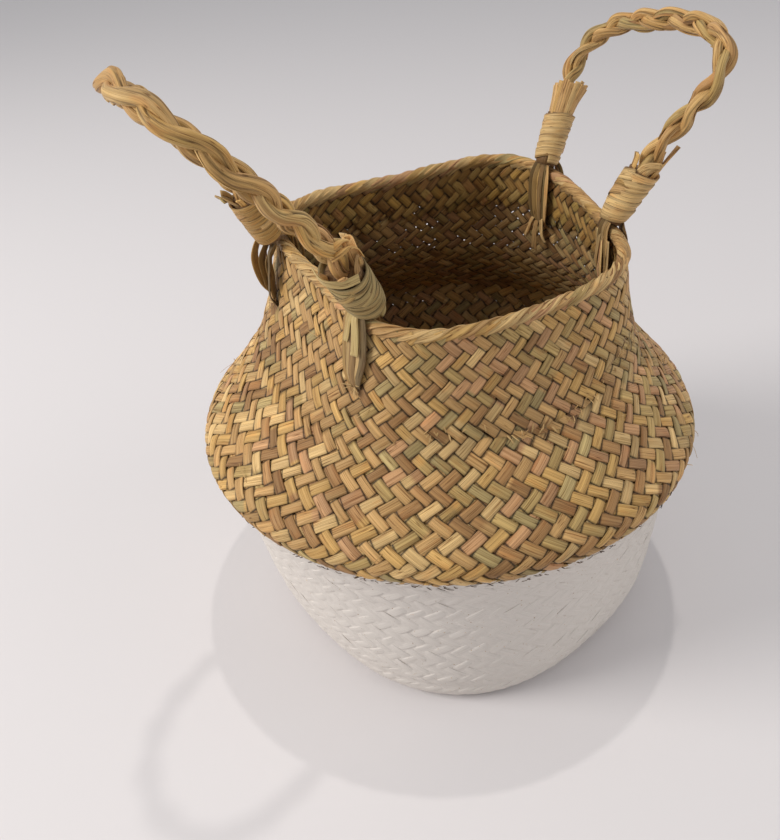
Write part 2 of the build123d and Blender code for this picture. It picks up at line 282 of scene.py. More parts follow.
def section_point(height, x, y):
    """Points of a level section below the belly edge, tilting and leaning above it."""
    rise = rise_fraction(height)
    low = BOWL_CENTRE + (BELLY_CENTRE - BOWL_CENTRE) * min(1.0, height / BELLY_HEIGHT)
    centre = min(1.0, height / BOWL_FOOT) * low + (RIM_CENTRE - BELLY_CENTRE) * rise
    x_way, y_way, _ = section_axes(rise)
    origin = np.array((centre[0], centre[1], height))
    return origin + x_way * np.asarray(x)[..., None] + y_way * np.asarray(y)[..., None]


skin = Skin()
S_PAINT = skin.s_at(PAINT_LINE)
S_SHOULDER = skin.s_at(SHOULDER_TOP)
S_RIM = skin.s_at(RIM_HEIGHT)


# ------------------------------------------------------------------ the rim and the legs' places
RIM_X, RIM_Y, RIM_Z = section_axes(1.0)
RIM_ORIGIN = np.array((RIM_CENTRE[0], RIM_CENTRE[1], RIM_HEIGHT))


def rim_spot(direction):
    """Middle of the wall at the rim, in the rim plane."""
    return np.array(outline_spot(direction, WALL_MIDDLE, RIM_SQUARENESS, 0.0, 1.0))


def rim_outward(direction):
    """Outward way of the rim at a leg."""
    step = radians(1.0)
    run = rim_spot(direction + step) - rim_spot(direction - step)
    return unit(RIM_X * run[1] - RIM_Y * run[0])


def rim_place(direction):
    """Turn fraction, and distance up the wall, of a leg's place on the rim's outer face."""
    x, y = rim_spot(direction)
    return skin.find(RIM_ORIGIN + RIM_X * x + RIM_Y * y + rim_outward(direction) * HALF_WALL)


RIM_PLACES = [rim_place(handle[leg][0]) for handle in HANDLES.values() for leg in ("near", "far")]
HOLES = [(turn, rim - HOLE_DEPTH) for turn, rim in RIM_PLACES]


# ------------------------------------------------------------------ meshes
def make_mesh(name, pieces, body, material, replaces=()):
    """One object from ribbons and tubes. Each piece is a dict of rings (count, rows, section, 3)
    with tone (colour), fibre (along, across, seed) and paint for every point."""
    verts, loops, sizes, tones, fibres, paints = [], [], [], [], [], []
    base = 0
    for piece in pieces:
        rings = piece["rings"]
        count, rows, section, _ = rings.shape
        paint = piece.get("paint", NEVER_PAINTED)
        verts.append(rings.reshape(-1, 3))
        tones.append(np.broadcast_to(piece["tone"], rings.shape).reshape(-1, 3))
        fibres.append(np.broadcast_to(piece["fibre"], rings.shape).reshape(-1, 3))
        paints.append(np.broadcast_to(paint, rings.shape[:3]).reshape(-1))
        each = np.arange(count)[:, None, None] * rows * section
        row = np.arange(rows - 1)[None, :, None] * section
        column = np.arange(section)[None, None, :]
        after = (column + 1) % section
        quads = np.stack([each + row + column, each + row + after,
                          each + row + section + after, each + row + section + column], -1)
        faces = [quads.reshape(-1, 4)]
        if piece.get("caps", True):
            first = np.arange(count)[:, None] * rows * section + np.arange(section)[None, ::-1]
            last = (np.arange(count)[:, None] * rows + rows - 1) * section + np.arange(section)
            faces += [first, last]
        for group in faces:
            loops.append((group + base).ravel())
            sizes.append(np.full(len(group), group.shape[1]))
        base += count * rows * section
    verts = np.concatenate(verts) * MM
    loops, sizes = np.concatenate(loops), np.concatenate(sizes)
    mesh = bpy.data.meshes.new(name)
    mesh.vertices.add(len(verts))
    mesh.vertices.foreach_set("co", verts.astype(np.float32).ravel())
    mesh.loops.add(len(loops))
    mesh.loops.foreach_set("vertex_index", loops.astype(np.int32))
    mesh.polygons.add(len(sizes))
    mesh.polygons.foreach_set("loop_start", (np.cumsum(sizes) - sizes).astype(np.int32))
    mesh.polygons.foreach_set("loop_total", sizes.astype(np.int32))
    mesh.update(calc_edges=True)
    mesh.polygons.foreach_set("use_smooth", np.ones(len(sizes), bool))
    rgba = np.concatenate([np.concatenate(tones), np.ones((len(verts), 1))], 1)
    for key, kind, field, values in (("tone", "FLOAT_COLOR", "color", rgba),
                                     ("fibre", "FLOAT_VECTOR", "vector", np.concatenate(fibres)),
                                     ("paint", "FLOAT", "value", np.concatenate(paints))):
        layer = mesh.attributes.new(key, kind, "POINT")
        layer.data.foreach_set(field, values.astype(np.float32).ravel())
    obj = bpy.data.objects.new(name, mesh)
    bpy.context.scene.collection.objects.link(obj)
    mesh.materials.append(material)
    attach(obj, body)
    if replaces:
        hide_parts(*replaces)


def grain(along, across, seed):
    """Fibre values of points: how far along and across their blade, and the blade's own seed."""
    return np.stack(np.broadcast_arrays(along[..., None], across, seed), -1)


def single(rings, tone, fibre):
    """The piece of one ribbon or tube."""
    return {"rings": rings[None], "tone": tone[None], "fibre": fibre[None]}


# cross-section of a flattened blade: across in half widths, height in half thicknesses
BLADE = np.array([
    (-1.00, 0.00), (-0.90, 0.62), (-0.55, 0.93), (-0.15, 1.00), (0.25, 1.00), (0.60, 0.90),
    (0.91, 0.60), (1.00, 0.00), (0.85, -0.75), (0.00, -1.00), (-0.85, -0.75),
])
# thin strip for wraps, tails and loose blades
THIN_BLADE = np.array([
    (-1.00, 0.00), (-0.92, 0.75), (-0.45, 1.00), (0.05, 0.85), (0.50, 1.00), (0.92, 0.75),
    (1.00, 0.00), (0.80, -1.00), (-0.80, -1.00),
])


# ------------------------------------------------------------------ colours
def linear(colour):
    """Scene-linear values of a display colour given in 0 to 255."""
    c = np.asarray(colour, float) / 255
    return np.where(c <= 0.04045, c / 12.92, ((c + 0.055) / 1.055) ** 2.4)


# dry seagrass, and how often each colour comes
STRAW, TAN, GOLD, ROSE, OLIVE, SAGE, UMBER = PALETTE = linear([
    (214, 180, 124), (199, 159, 104), (204, 164, 100), (197, 152, 108), (186, 157, 101),
    (181, 159, 108), (168, 128, 82),
])
PALETTE_SHARES = np.array([0.16, 0.30, 0.15, 0.13, 0.12, 0.05, 0.09])


def pick_tone(rng, shares=PALETTE_SHARES, spread=0.08):
    pick = PALETTE[rng.choice(len(PALETTE), p=shares / shares.sum())]
    return pick * (1 + spread * rng.standard_normal())


def strip_tones(count, stations, change_every, rng):
    """Colours along strips: a blade's colour holds for a stretch, then another blade takes over."""
    first, last = stations.min(), stations.max()
    stretches = int((last - first) / change_every) + 3
    shares = PALETTE_SHARES / PALETTE_SHARES.sum()
    picks = rng.choice(len(PALETTE), (count, stretches), p=shares)
    offset = rng.uniform(0, 1, (count, 1))
    index = ((stations[None, :] - first) / change_every + offset).astype(int)
    tone = PALETTE[np.take_along_axis(picks, index, 1)]
    light = 1 + 0.09 * rng.standard_normal((count, stretches))
    return tone * np.take_along_axis(light, index, 1)[..., None]


# ------------------------------------------------------------------ weaving
# the crease across the front of the neck's foot: turn fraction, distance above the shoulder line
CREASE = np.array([
    (0.637, 7.0), (0.665, 9.9), (0.690, 9.5), (0.717, 6.7), (0.740, 2.9), (0.765, 2.6),
    (0.797, 6.2), (0.827, 12.7), (0.857, 16.5), (0.885, 16.0),
])
CREASE_DEPTH = 1.7
CREASE_WIDTH = 1.5
DENT_WIDTH = 3.8                 # of the dent round a handle's hole
DENT_HEIGHT = 3.4

# cuts along a strip in crossings: close together where it dives, further apart along its float
FINE_BEATS = (1.36, 1.5, 1.64, 1.95, 2.3, 2.7, 3.05)
COARSE_BEATS = (1.30, 1.5, 1.70, 2.25, 2.75)


def twill(rows):
    """Height wave of a strip: over two, under two. 1 is fully over, -1 fully under."""
    wave = np.cos(2 * pi * (rows - 0.5) / 4)
    return np.tanh(2.4 * wave) / np.tanh(2.4) * (1 - 0.10 * (1 - np.abs(wave)))


def crease_depth(u, s):
    """How far the skin is pushed in at the crease across the neck's foot and at the four holes."""
    u, s = np.broadcast_arrays(u, s)
    line = np.interp(u, CREASE[:, 0], CREASE[:, 1] + S_SHOULDER, left=-99, right=-99)
    fade = np.clip((u - CREASE[0, 0]) / 0.02, 0, 1) * np.clip((CREASE[-1, 0] - u) / 0.03, 0, 1)
    depth = CREASE_DEPTH * fade * np.exp(-((s - line) / CREASE_WIDTH) ** 2)
    for hole_u, hole_s in HOLES:
        aside = ((u - hole_u + 0.5) % 1 - 0.5) * NECK_GIRTH / DENT_WIDTH
        depth = depth + CREASE_DEPTH * np.exp(-aside ** 2 - ((s - hole_s) / DENT_HEIGHT) ** 2)
    return depth


def cut_rows(w_from, w_to, beats):
    """Rows of the weave where the strips of a zone have their rings."""
    repeats = 2 * np.arange(int(w_from) - 3, int(w_to) + 2)
    cuts = (repeats[:, None] + np.array(beats)).ravel() / 2
    cuts = cuts[(cuts > w_from + 0.04) & (cuts < w_to - 0.04)]
    return np.concatenate([[w_from], cuts, [w_to]])


def weave(seed, s_from, s_to, depth, beats=FINE_BEATS, height=0.54, thickness=STRIP_THICKNESS,
          over_sign=1, painted=None, loose_ends=0.0):
    """Ribbons of both directions of a zone of the skin. Returns the pieces for make_mesh."""
    rng = np.random.default_rng(seed)
    pieces = []
    w_from, w_to = skin.rows_at(s_from), skin.rows_at(s_to)
    cuts = cut_rows(w_from, w_to, beats)
    strips = np.arange(STRIPS)[:, None]
    for direction in (1, -1):
        w = cuts[None, :].repeat(STRIPS, 0)
        if loose_ends:
            reach = rng.uniform(0, loose_ends, (STRIPS, 1))
            w = w_from + reach + (w - w_from) * (w_to - w_from - reach) / (w_to - w_from)
        s = np.interp(w, skin.w, skin.s)
        slope = np.interp(s, skin.s, skin.slope)
        girth = np.interp(s, skin.s, skin.perimeter)
        pitch = np.interp(s, skin.s, skin.pitch)
        u = (strips + direction * w) / STRIPS
        over = direction * over_sign * twill(2 * w)
        wide = pitch * (STRIP_COVER + 0.06 * wander(w, STRIPS, 9.0, rng))
        wide = wide * (1 + 0.07 * rng.standard_normal((STRIPS, 1)))
        tilt = STRIP_ROLL * wander(w, STRIPS, 5.0, rng)
        sway = 0.30 * wander(w, STRIPS, 7.0, rng)

        # each float lies a little higher or lower than the next, and has its own lightness
        floats = np.floor((2 * w + 0.5 - (1 - direction * over_sign)) / 4).astype(int)
        floats = floats - floats.min()
        jitter = rng.standard_normal((STRIPS, floats.max() + 2))
        lift = height * pitch / STRIP_PITCH * over
        lift = lift + 0.07 * np.take_along_axis(jitter, floats, 1) * (over > 0)
        across = BLADE[None, None, :, 0] * wide[..., None] / 2 + sway[..., None]
        fold = 0.10 * wander(w, STRIPS, 6.0, rng)[..., None]
        fold = fold * np.exp(-((BLADE[:, 0] - 0.1) / 0.22) ** 2) * (BLADE[:, 1] > 0.5)
        lift = lift[..., None] + BLADE[:, 1] * thickness / 2 + fold
        lift = lift + across * np.tan(tilt)[..., None]
        uu = u[..., None] - np.sin(slope)[..., None] * across * direction / girth[..., None]
        ss = s[..., None] + np.cos(slope)[..., None] * across
        rings = skin.at(uu, ss, -depth + lift - crease_depth(uu, ss))
        rings[..., 2] = np.maximum(rings[..., 2], 0.02)

        # painted shade: darker at the sides, where it dives under, and in the crease
        side_shade = 1 - 0.5 * np.abs(BLADE[:, 0]) ** 8
        tone = strip_tones(STRIPS, w[0], BLADE_ROWS, rng)
        own = np.take_along_axis(rng.standard_normal(jitter.shape), floats, 1)
        dive_shade = np.clip((0.46 - np.abs(over)) / 0.30, 0, 1)
        shade = (1 + 0.07 * own) * (1 - 0.94 * dive_shade)
        shade = shade * (1 - 0.75 * np.clip(crease_depth(u, s) / CREASE_DEPTH, 0, 1))
        tone = (tone * shade[..., None])[:, :, None, :] * side_shade[::direction, None]
        ids = (strips * 2 + (direction < 0))[..., None] * 7.31
        across = across[:, :, ::direction]
        piece = {"rings": rings[:, :, ::direction], "tone": tone,
                 "fibre": grain(s / np.sin(slope), across, ids)}
        if painted is not None:
            outward = BLADE[::direction, 1] > -0.5
            piece["paint"] = np.where(outward, (painted - ss)[:, :, ::direction], NEVER_PAINTED)
        pieces.append(piece)
    return pieces


def paint_film():
    """The paint that fills the hollows between strips: a closed shell just under their tops."""
    rng = np.random.default_rng(5)
    outer, inner = 0.58, 1.25        # depths of its faces below the CAD skin's outer face
    s_from, s_to = 3.0, S_PAINT - 1.5
    count, columns = int((s_to - s_from) / 1.6), 480
    u = np.linspace(0, 1, columns, endpoint=False)
    ragged = 1.3 * wander(u[None, :] * 2 * pi, 1, 0.23, rng)[0]
    s = s_from + (s_to + ragged[None, :] - s_from) * np.linspace(0, 1, count)[:, None]
    bump = 0.07 * wander(s, count, 17.0, rng)
    gaps = np.clip(rng.standard_normal(s.shape) - 0.4, 0, 1)
    gaps = gaps * np.clip(1 - (s_to - s) / 16, 0, 1)
    out = skin.at(u, s, -outer + bump - 0.55 * gaps)
    back = skin.at(u, s, -inner)
    rings = np.concatenate([out, back[::-1]], 0).transpose(1, 0, 2)[None]
    paint = np.concatenate([s_to + 3 - s, np.full(s.shape, NEVER_PAINTED)], 0).T[None]
    piece = {"rings": rings, "tone": np.broadcast_to(UMBER, rings.shape), "paint": paint,
             "fibre": rings[..., [0, 2, 1]]}
    # it goes once round, so its last ring is its first
    piece = {key: np.concatenate([rows, rows[:, :1]], 1) for key, rows in piece.items()}
    return {**piece, "caps": False}


# ------------------------------------------------------------------ materials
def add_node(tree, kind, inputs, **settings):
    """A new node's outputs. Each input is a value or another node's output."""
    made = tree.nodes.new(kind)
    for name, value in settings.items():
        setattr(made, name, value)
    for place, value in inputs.items():
        if isinstance(value, bpy.types.NodeSocket):
            tree.links.new(value, made.inputs[place])
        else:
            made.inputs[place].default_value = value
    return made.outputs


def maths(tree, operation, *values):
    return add_node(tree, "ShaderNodeMath", dict(enumerate(values)), operation=operation)[0]


def mix_colour(tree, factor, a, b, blend="MIX"):
    a, b = (c if isinstance(c, bpy.types.NodeSocket) else (*c, 1.0) for c in (a, b))
    inputs = {0: factor, 6: a, 7: b}
    return add_node(tree, "ShaderNodeMix", inputs, data_type="RGBA", blend_type=blend)[2]


def remap(tree, value, low, high, to_low=0.0, to_high=1.0):
    inputs = {"Value": value, "From Min": low, "From Max": high,
              "To Min": to_low, "To Max": to_high}
    made = add_node(tree, "ShaderNodeMapRange", inputs, interpolation_type="SMOOTHSTEP")
    return made["Result"]


def noise(tree, place, scale, detail, roughness=0.5):
    inputs = {"Vector": place, "Scale": scale, "Detail": detail, "Roughness": roughness}
    return add_node(tree, "ShaderNodeTexNoise", inputs)[0]


def painted_over(tree, streak, colour, roughness, relief):
    """Matt off-white paint on the outward faces, up to a ragged line and with bare specks."""
    reach = add_node(tree, "ShaderNodeAttribute", {}, attribute_name="paint")["Fac"]
    place = add_node(tree, "ShaderNodeTexCoord", {})["Object"]
    ragged = maths(tree, "MULTIPLY", noise(tree, place, 210.0, 3.0), 7.0)
    cover = remap(tree, maths(tree, "ADD", reach, ragged), 3.1, 3.7)
    cover = maths(tree, "MULTIPLY", cover, remap(tree, noise(tree, place, 950.0, 2.0), 0.25, 0.30))
    thin, thick = (0.605, 0.556, 0.507), (0.70, 0.645, 0.597)
    white = mix_colour(tree, remap(tree, streak, 0.3, 0.7), thin, thick)
    colour = mix_colour(tree, cover, colour, white)
    roughness = maths(tree, "ADD", roughness, maths(tree, "MULTIPLY", cover, 0.36))
    left_over = maths(tree, "SUBTRACT", 1.0, maths(tree, "MULTIPLY", cover, 0.72))
    return colour, roughness, maths(tree, "MULTIPLY", relief, left_over)


def blade_material(name, brightness=1.0, warmth=(1.0, 1.0, 1.0), painted=False, sheen=0.05,
                   rough=0.58):
    """Dry seagrass: each blade's own colour, lengthwise fibres, dark specks and a low gloss."""
    material = bpy.data.materials.new(name)
    material.use_nodes = True
    tree = material.node_tree
    tree.nodes.clear()
    tone = add_node(tree, "ShaderNodeAttribute", {}, attribute_name="tone")["Color"]
    fibre = add_node(tree, "ShaderNodeAttribute", {}, attribute_name="fibre")["Vector"]

    def fibre_noise(detail, roughness, stretch):
        place = add_node(tree, "ShaderNodeMapping", {"Vector": fibre, "Scale": stretch})[0]
        return noise(tree, place, 1.0, detail, roughness)

    def tinted(base, tint):
        return mix_colour(tree, 1.0, base, tint, "MULTIPLY")

    streak = fibre_noise(4.0, 0.7, (0.05, 3.4, 1.0))
    broad = fibre_noise(2.0, 0.5, (0.03, 0.75, 1.0))
    blotch = fibre_noise(2.0, 0.55, (0.10, 0.22, 1.0))
    speck = fibre_noise(2.0, 0.7, (0.9, 1.6, 1.0))
    split = fibre_noise(1.0, 0.5, (0.035, 1.05, 1.0))
    split = maths(tree, "ABSOLUTE", maths(tree, "SUBTRACT", split, 0.5))

    plain = tinted(tone, tuple(brightness * w for w in warmth))
    darker, lighter = tinted(plain, (0.66, 0.58, 0.48)), tinted(plain, (1.18, 1.17, 1.12))
    colour = mix_colour(tree, remap(tree, streak, 0.34, 0.60), darker, plain)
    colour = mix_colour(tree, remap(tree, broad, 0.48, 0.72), colour, lighter)
    reddish = remap(tree, blotch, 0.52, 0.72, 0.0, 0.6)
    colour = mix_colour(tree, reddish, colour, tinted(colour, (1.02, 0.82, 0.66)))
    spotted = remap(tree, speck, 0.70, 0.80, 0.0, 0.65)
    colour = mix_colour(tree, spotted, colour, tinted(colour, (0.42, 0.30, 0.22)))
    sound = remap(tree, split, 0.006, 0.020)
    colour = mix_colour(tree, sound, tinted(colour, (0.46, 0.38, 0.30)), colour)
    roughness = remap(tree, streak, 0.3, 0.7, rough + 0.12, rough - 0.06)
    relief = maths(tree, "ADD", maths(tree, "MULTIPLY", streak, 0.7),
                   maths(tree, "MULTIPLY", broad, 0.5))
    relief = maths(tree, "ADD", relief, remap(tree, split, 0.0, 0.03, 0.0, 0.5))
    if painted:
        colour, roughness, relief = painted_over(tree, streak, colour, roughness, relief)

    bump = {"Strength": 0.55, "Distance": 0.00022, "Height": relief}
    shader = add_node(tree, "ShaderNodeBsdfPrincipled", {
        "Base Color": colour, "Roughness": roughness, "Specular IOR Level": 0.26,
        "Sheen Weight": sheen, "Sheen Roughness": 0.5,
        "Normal": add_node(tree, "ShaderNodeBump", bump)[0],
    })
    add_node(tree, "ShaderNodeOutputMaterial", {"Surface": shader[0]})
    return material


natural = blade_material("seagrass natural", brightness=0.90)
# painted shade: a darker, yellower copy of the natural seagrass for the shaded inner hem and the
# floor inside
inside = blade_material("seagrass inside shaded", brightness=0.70, warmth=(0.97, 0.92, 0.68))
painted_blades = blade_material("seagrass painted", brightness=0.96, painted=True, sheen=0.03)
braid_blades = blade_material("seagrass braid", brightness=0.96, warmth=(1.0, 0.99, 0.92),
                              sheen=0.08, rough=0.5)
wrap_blades = blade_material("seagrass wrap", brightness=0.98, sheen=0.06, rough=0.55)


# ------------------------------------------------------------------ the plaited skin
def woven_zone(name, pieces, material, node):
    """A zone of the skin, one mesh for the strips of each direction."""
    make_mesh(f"{name}_weave_rising", pieces[:1], "basket", material, replaces=[node])
    make_mesh(f"{name}_weave_falling", pieces[1:], "basket", material)


def plaited_skin():
    lower = weave(11, 0.5, S_PAINT, WEAVE_DEPTH, beats=COARSE_BEATS, height=0.36,
                  painted=S_PAINT - 1.0)
    woven_zone("lower", lower, painted_blades, "lower_wall")
    make_mesh("paint_film", [paint_film()], "basket", painted_blades)
    belly = weave(12, S_PAINT, S_SHOULDER, WEAVE_DEPTH, painted=S_PAINT + 0.6)
    woven_zone("belly", belly, painted_blades, "upper_wall")
    neck = weave(13, S_SHOULDER, S_RIM - 0.8, WEAVE_DEPTH)
    woven_zone("neck", neck, natural, "neck_wall")
    hem = weave(14, S_RIM - 27.0, S_RIM - 3.0, 3.3, height=0.36, thickness=0.8, over_sign=-1,
                loose_ends=1.6)
    make_mesh("hem_weave", hem, "basket", inside, replaces=["inner_hem"])


def base_weave():
    """The flat base: strips in two directions, square to each other and diagonal to its sides."""
    rng = np.random.default_rng(31)
    count = int(2 * BASE_REACH / STRIP_PITCH)
    middle = (count - 1) / 2
    level, height, half_thickness = 2.35, 0.48, 0.45
    to_sides = np.array([[cos(BASE_TURN), -sin(BASE_TURN)], [sin(BASE_TURN), cos(BASE_TURN)]])
    fine = np.linspace(-1.5 * BASE_REACH, 1.5 * BASE_REACH, 1200)
    pieces = []
    for sign in (-1, 1):
        turn = BASE_TURN + pi / 4 + (pi / 2 if sign > 0 else 0)
        way = np.array((cos(turn), sin(turn)))
        side = np.array((-sin(turn), cos(turn)))
        rings, tones, fibres = [], [], []
        for index in range(count):
            offset = (index - middle) * STRIP_PITCH
            spots = (way[None] * fine[:, None] + side[None] * offset) @ to_sides
            within = (np.abs(spots) ** BASE_SQUARENESS).sum(1) < BASE_REACH ** BASE_SQUARENESS
            if within.sum() < 40:
                continue
            along = np.linspace(*fine[within][[0, -1]], 84)
            over = sign * twill(along / STRIP_PITCH + middle + sign * index + 0.5 * (1 - sign))
            wide = STRIP_PITCH * (0.97 + 0.04 * wander(along[None, :], 1, 60.0, rng)[0])
            across = BLADE[None, :, 0] * wide[:, None] / 2
            z = level + height * over[:, None] + BLADE[None, :, 1] * half_thickness
            xy = way * along[:, None, None] + side * (offset + across)[..., None]
            rings.append(np.concatenate([xy, z[..., None]], -1))
            tone = strip_tones(1, along, 90.0, rng)[0]
            tones.append(np.repeat(tone[:, None], len(BLADE), 1))
            fibres.append(grain(along, across, index * 5.7))
        rings, tones, fibres = (np.stack(v)[:, :, ::-1] for v in (rings, tones, fibres))
        pieces.append({"rings": rings, "tone": tones, "fibre": fibres})
    make_mesh("base_weave", pieces, "basket", inside, replaces=["base_mat"])


# ------------------------------------------------------------------ general ribbons
def ribbon(points, normals, width, thickness, tone, seed, section=THIN_BLADE, edge=0.0):
    """One flat strip along points, its face towards normals; edge darkens its two sides with
    painted shade.
    """
    points, normals = np.asarray(points, float), np.asarray(normals, float)
    tangent = unit(np.gradient(points, axis=0))
    side = unit(np.cross(normals, tangent))
    up = unit(np.cross(tangent, side))
    across = section[:, 0] * np.broadcast_to(width, len(points))[:, None] / 2
    rings = points[:, None] + side[:, None] * across[..., None]
    rings = rings + up[:, None] * (section[:, 1] * thickness / 2)[:, None]
    tone = np.broadcast_to(tone, (len(points), 3))[:, None].repeat(len(section), 1)
    # painted shade along the two sides
    tone = tone * (1 - edge * np.abs(section[:, 0]) ** 6)[:, None]
    fibre = grain(distances(points), across, seed)
    return single(rings[:, ::-1], tone[:, ::-1], fibre[:, ::-1])


def soft_ribbon(points, normals, width, thickness, tone, seed, section=THIN_BLADE):
    """A blade along a smooth line through a few points, with normals and widths given at them."""
    points = np.asarray(points, float)
    line, _ = resample(points, 0.9)
    chord = distances(points)
    at = np.linspace(0, chord[-1], len(line))
    facing = read_line(at, chord, np.asarray(normals, float))
    wide = np.interp(at, chord, np.broadcast_to(width, len(points)))
    return ribbon(line, unit(facing), wide, thickness, tone, seed, section)


def skin_blade(turn, s, lift, width, thickness, tone, seed, section=THIN_BLADE, side=1,
               root=None, twist=0.0):
    """A blade along the skin, facing out or in (side 1 or -1), perhaps from a root clear of it
    (its place and facing), and twisted towards a way."""
    spots, facing = skin.at(turn, s, lift), skin.normal_at(turn, s) * side
    if root:
        spots, facing = (np.concatenate([[a], b]) for a, b in zip(root, (spots, facing)))
    return soft_ribbon(spots, facing - twist, width, thickness, tone, seed, section)


# ------------------------------------------------------------------ rim border
def rim_border():
    """Blades folded over the rim one after the other, each leaning over its neighbour."""
    rng = np.random.default_rng(41)
    pieces = []
    radius, depth, width, thickness = 1.65, 2.3, 4.0, 1.0
    slant = 4.8                      # folds that a blade passes on its way over the rim
    shares = PALETTE_SHARES * np.array([2.6, 1.3, 1.6, 0.6, 0.8, 0.6, 0.3])
    t = np.linspace(0, 1, 24)
    turn = np.clip((t - 0.2) / 0.6, 0, 1) * pi
    for index in range(STRIPS):
        jump = 0.14 * rng.standard_normal(4)
        low_out, low_in = -2.0 + 2 * jump[0], -3.0 + jump[1] * 3
        up = np.where(t > 0.8, low_in * (t - 0.8) / 0.2, 0)
        up = np.where(t < 0.2, low_out * (1 - t / 0.2), up)
        up = up + radius * np.sin(turn) * (1 + jump[3]) - 1.4
        lift = -depth + (radius + 0.35) * np.cos(turn) - np.clip((0.2 - t) / 0.2, 0, 1)
        lift = lift + 0.6 * np.clip((t - 0.8) / 0.2, 0, 1)
        around = (index + slant * (t - 0.5) + jump[2]) / STRIPS
        centre = skin.at(around, S_RIM + up, lift)
        core = skin.at(around, S_RIM - 1.6 + np.minimum(up + 1.6, 0), -depth)
        normals = unit(centre - core)
        side = unit(np.cross(normals, unit(np.gradient(centre, axis=0))))
        wide = width * (1 + 0.12 * rng.standard_normal())
        wide = wide * (1 - 0.35 * np.abs(2 * t - 1) ** 3)
        # painted shade: each fold darker towards both ends, where it tucks under its neighbours
        tone = pick_tone(rng, shares) * (1 - 0.35 * np.abs(2 * t - 1) ** 4)[:, None]
        pieces.append(ribbon(centre, unit(normals + 0.16 * side), wide, thickness, tone,
                             index * 3.1, BLADE))
    make_mesh("rim_folds", pieces, "basket", natural, replaces=["rim_border"])


# ------------------------------------------------------------------ handles
# length of one full crossing cycle, half width and half depth of the crossing, strand radius
BRAIDS = {"left": (58.0, 2.4, 2.2, 2.4), "right": (47.0, 2.2, 2.1, 2.05)}
BRAID_SHARES = PALETTE_SHARES * np.array([1.5, 1.6, 2.2, 0.5, 0.8, 0.4, 0.8])
STRAND_SECTION = 40
STRAND_BLADES = 5
BUNDLE_RADIUS = 1.9              # of the strands' middles inside a binding
CREASE_IN_STRAND = 0.20          # greatest depth between two blades, as a share of the radius
BINDING_FOOT = -5.0              # heights of a binding above its pivot
BINDING_TOP = 18.5


def leg_foot(leg):
    """Pivot of a leg, above the wall."""
    direction, shift = leg
    x, y = rim_spot(direction)
    wall = RIM_ORIGIN + RIM_X * x + RIM_Y * y
    return wall + rim_outward(direction) * shift + RIM_Z * PIVOT_LIFT


def handle_line(handle):
    """The braid's middle line at an even step, its length, and the handle's face direction."""
    near, far = leg_foot(handle["near"]), leg_foot(handle["far"])
    hinge = unit(far - near)
    upright = unit(RIM_Z - hinge * (RIM_Z @ hinge))
    outward = np.cross(upright, hinge) * -handle["side"]
    away = upright * cos(handle["lean"]) + outward * sin(handle["lean"])
    face, half_span = np.cross(hinge, away), np.linalg.norm(far - near) / 2
    route = [(near + far) / 2 + hinge * a * half_span + away * b + face * c
             for a, b, c in handle["route"]]
    return *resample(route, 0.8), face


def strand_surface(along, crossing, strand_radius, rng):
    """Radius and tone round a strand, a bundle of flat blades with creases darkened by painted
    shade, and its twist.
    """
    phi = np.linspace(0, 2 * pi, STRAND_SECTION, endpoint=False)[None, :]
    twist = (along / 34.0 + 2 * pi * rng.uniform())[:, None]
    radius = strand_radius * (1 + 0.05 * wander(along[None], 1, 23.0, rng)[0])[:, None]
    radius = radius * (1 + 0.13 * np.cos(2 * (phi - crossing[:, None])))
    shade = np.ones(radius.shape)
    edges = []
    for blade in range(STRAND_BLADES):
        drift = 0.4 * wander(along[None], 1, 45.0, rng)[0]
        share = (blade + 0.4 * rng.uniform(-1, 1)) / STRAND_BLADES
        edge = twist + 2 * pi * share + drift[:, None]
        edges.append(edge)
        gap = (phi - edge + pi) % (2 * pi) - pi
        wave = np.sin(along * 2 * pi / rng.uniform(14, 30) + rng.uniform(0, 6))
        depth = CREASE_IN_STRAND * (0.55 + 0.45 * wave)[:, None]
        notch = np.exp(-(gap / 0.13) ** 2)
        step = depth * np.exp(-np.clip(gap, 0, None) / 0.5) * (gap > 0)
        radius = radius * (1 - depth * notch) + 0.3 * strand_radius * step
        # painted shade in the creases between blades
        shade = shade * (1 - 0.66 * notch * (depth / CREASE_IN_STRAND))
    edges = np.stack(edges, -1)
    from_blade = (phi[..., None] - edges - pi / STRAND_BLADES + pi) % (2 * pi) - pi
    own = pick_tone(rng, BRAID_SHARES)
    tones = np.array([0.55 * own + 0.45 * pick_tone(rng, BRAID_SHARES, 0.12)
                      for _ in range(STRAND_BLADES)])
    return phi, radius, tones[np.argmin(np.abs(from_blade), -1)] * shade[..., None], twist


def loose_blades(along, centre, side, up, twist, strand_radius, rng):
    """Short blades that lie on a strand, their ends tucked in."""
    pieces = []
    for loose in range(8):
        first = rng.integers(10, len(centre) - 60)
        span = slice(first, first + rng.integers(30, 50))
        bearing = twist[span, 0] + rng.uniform(0, 2 * pi)
        bearing = bearing + 0.5 * (along[span] - along[first]) / 40
        radial = side[span] * np.cos(bearing)[:, None] + up[span] * np.sin(bearing)[:, None]
        swell = np.sin(np.linspace(0, pi, len(bearing)))
        lifted = strand_radius * 1.06 + 0.35 * swell
        wide = rng.uniform(0.8, 2.0) * np.clip(swell * 4, 0.15, 1)
        tone = pick_tone(rng, BRAID_SHARES, 0.12) * 1.08
        pieces.append(ribbon(centre[span] + radial * lifted[:, None], radial, wide, 0.4, tone,
                             loose * 4.1, edge=0.45))
    return pieces


